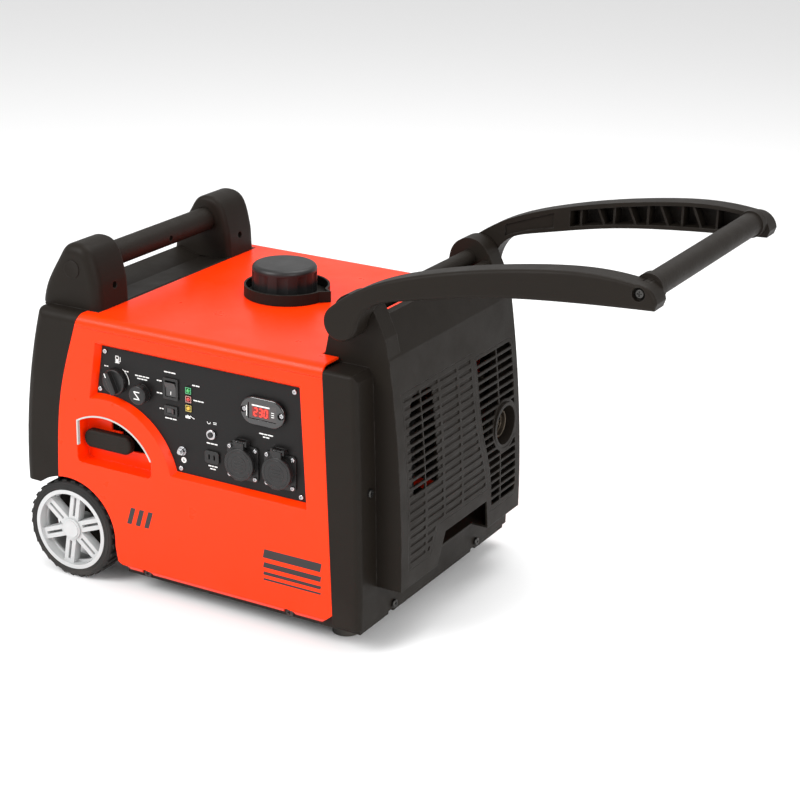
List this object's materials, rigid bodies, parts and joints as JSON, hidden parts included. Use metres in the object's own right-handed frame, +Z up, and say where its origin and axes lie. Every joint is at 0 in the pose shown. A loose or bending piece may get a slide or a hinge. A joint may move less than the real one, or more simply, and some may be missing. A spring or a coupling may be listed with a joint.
{
  "type": "portable inverter generator",
  "caption": "Portable generator in an orange case with black ends, wheels, a folding tow handle, a pull starter and a control panel.",
  "frame": {"origin": "on the floor under the middle of the footprint, with the tow handle unfolded as at rest", "axes": "+X towards the air grille and the tow handle, -Y out of the control panel, +Z up"},
  "size_m": [0.9537, 0.454, 0.59],
  "materials": {
    "shell_orange": "glossy moulded plastic, faint orange peel",
    "shell_black": "fine-textured black moulded plastic",
    "panel_black": "smooth black panel plate",
    "grip_black": "textured black hand grip",
    "knob_black": "satin black knobs",
    "knob_grey": "satin dark grey rockers",
    "trim_grey": "pale grey edging strip",
    "lamp_green": "translucent green lens",
    "lamp_red": "translucent red lens",
    "lamp_yellow": "translucent yellow lens",
    "bezel_black": "glossy black bezel",
    "window_dark": "dark tinted window",
    "screw_chrome": "bright chromed screws",
    "bolt_steel": "zinc-plated bolts",
    "pin_steel": "turned steel",
    "tyre_rubber": "matt black tread rubber",
    "foot_rubber": "matt black rubber",
    "rim_silver": "silver-grey moulded wheel",
    "tray_black": "black moulded base tray",
    "rope_fibre": "braided black rope",
    "tank_steel": "black painted sheet steel",
    "engine_cast": "sand-cast aluminium",
    "rotor_iron": "machined iron with oxide skin",
    "winding_copper": "varnished copper windings",
    "muffler_steel": "heat-tinted steel",
    "carb_alloy": "die-cast alloy",
    "inverter_alloy": "extruded heat sink"
  },
  "bodies": {
    "case": {"air_filter_box": "tray_black", "axle": "pin_steel", "base_tray": "tray_black", "breaker_nut": "screw_chrome", "carburettor": "carb_alloy", "carry_bar": "grip_black", "control_panel": "panel_black", "cross_bar": "grip_black", "dc_outlet": "knob_black", "display_bezel": "bezel_black", "display_window": "window_dark", "earth_terminal": "screw_chrome", "engine_block": "engine_cast", "engine_mounts": "foot_rubber", "exhaust_collar": "shell_black", "exhaust_grille": "shell_black", "front_cover": "shell_orange", "fuel_collar": "tray_black", "fuel_tank": "tank_steel", "intake_grille": "shell_black", "inverter_unit": "inverter_alloy", "lamp_frame": "trim_grey", "lamp_green": "lamp_green", "lamp_red": "lamp_red", "lamp_yellow": "lamp_yellow", "left_end_cap": "shell_black", "left_saddle": "shell_black", "muffler": "muffler_steel", "outlet_1_body": "knob_black", "outlet_2_body": "knob_black", "panel_screws": "screw_chrome", "rear_cover": "shell_orange", "recoil_housing": "tray_black", "right_end_cap": "shell_black", "rubber_feet": "foot_rubber", "shell_screws": "bolt_steel", "starter_trim": "trim_grey", "stator": "winding_copper", "switch_housings": "knob_black", "top_cover": "shell_orange", "tow_pivot_pins": "pin_steel"},
    "tow_handle": {"tow_arm_front": "shell_black", "tow_arm_rear": "shell_black", "tow_grip": "grip_black", "tow_grip_screws": "bolt_steel"},
    "wheel_front": {"tyre_front": "tyre_rubber", "rim_front": "rim_silver"},
    "wheel_rear": {"tyre_rear": "tyre_rubber", "rim_rear": "rim_silver"},
    "rotor": {"crank_rotor": "rotor_iron"},
    "filler_cap": {"fuel_cap": "knob_black"},
    "valve_knob": {"fuel_valve_knob": "knob_black"},
    "choke": {"choke_knob": "knob_black"},
    "engine_rocker": {"engine_switch_rocker": "knob_grey"},
    "eco_rocker": {"eco_switch_rocker": "knob_grey"},
    "breaker": {"breaker_button": "knob_black"},
    "cover_1": {"outlet_1_cover": "knob_black"},
    "cover_2": {"outlet_2_cover": "knob_black"},
    "pull_grip": {"starter_grip": "grip_black", "starter_rope": "rope_fibre"},
    "pulley": {"starter_pulley": "knob_grey"}
  },
  "joints": [
    {"name": "tow_handle_fold", "type": "hinge", "parent": "case", "child": "tow_handle", "pos_m": [0.04485, 0, 0.463], "axis": [0, 1, 0], "range_deg": [0, 96]},
    {"name": "front_wheel_spin", "type": "hinge", "parent": "case", "child": "wheel_front", "pos_m": [-0.39915, -0.2, 0.075], "axis": [0, 1, 0], "continuous": true},
    {"name": "rear_wheel_spin", "type": "hinge", "parent": "case", "child": "wheel_rear", "pos_m": [-0.39915, 0.2, 0.075], "axis": [0, 1, 0], "continuous": true},
    {"name": "crank_spin", "type": "hinge", "parent": "case", "child": "rotor", "pos_m": [-0.27915, -0.03, 0.165], "axis": [1, 0, 0], "continuous": true},
    {"name": "fuel_cap_lift", "type": "slide", "parent": "case", "child": "filler_cap", "axis": [0, 0, 1], "range_m": [0, 0.06]},
    {"name": "fuel_valve_turn", "type": "hinge", "parent": "case", "child": "valve_knob", "pos_m": [-0.31515, -0.213, 0.317], "axis": [0, -1, 0], "range_deg": [-82, 0]},
    {"name": "choke_pull", "type": "slide", "parent": "case", "child": "choke", "axis": [0, -1, 0], "range_m": [0, 0.018]},
    {"name": "engine_switch_tip", "type": "hinge", "parent": "case", "child": "engine_rocker", "pos_m": [-0.22115, -0.2115, 0.3235], "axis": [-1, 0, 0], "range_deg": [0, 20]},
    {"name": "eco_switch_tip", "type": "hinge", "parent": "case", "child": "eco_rocker", "pos_m": [-0.22115, -0.2115, 0.2915], "axis": [0, 0, 1], "range_deg": [0, 20]},
    {"name": "breaker_push", "type": "slide", "parent": "case", "child": "breaker", "axis": [0, 1, 0], "range_m": [0, 0.0015]},
    {"name": "outlet_1_cover_lift", "type": "hinge", "parent": "case", "child": "cover_1", "pos_m": [-0.10315, -0.22, 0.271], "axis": [-1, 0, 0], "range_deg": [0, 110], "stiffness_Nm_per_rad": 0.02, "springref_deg": -20.05},
    {"name": "outlet_2_cover_lift", "type": "hinge", "parent": "case", "child": "cover_2", "pos_m": [-0.04315, -0.22, 0.271], "axis": [-1, 0, 0], "range_deg": [0, 110], "stiffness_Nm_per_rad": 0.02, "springref_deg": -20.05},
    {"name": "starter_pull", "type": "slide", "parent": "case", "child": "pull_grip", "axis": [0, -1, 0], "range_m": [0, 0.15], "stiffness_N_per_m": 40, "springref_m": -0.05},
    {"name": "starter_pulley_turn", "type": "hinge", "parent": "case", "child": "pulley", "pos_m": [-0.33215, -0.03, 0.165], "axis": [1, 0, 0], "range_deg": [0, 156]}
  ],
  "couplings": [
    {"joint": "starter_pulley_turn", "follows": "starter_pull", "rad_per_m": 17.857}
  ]
}
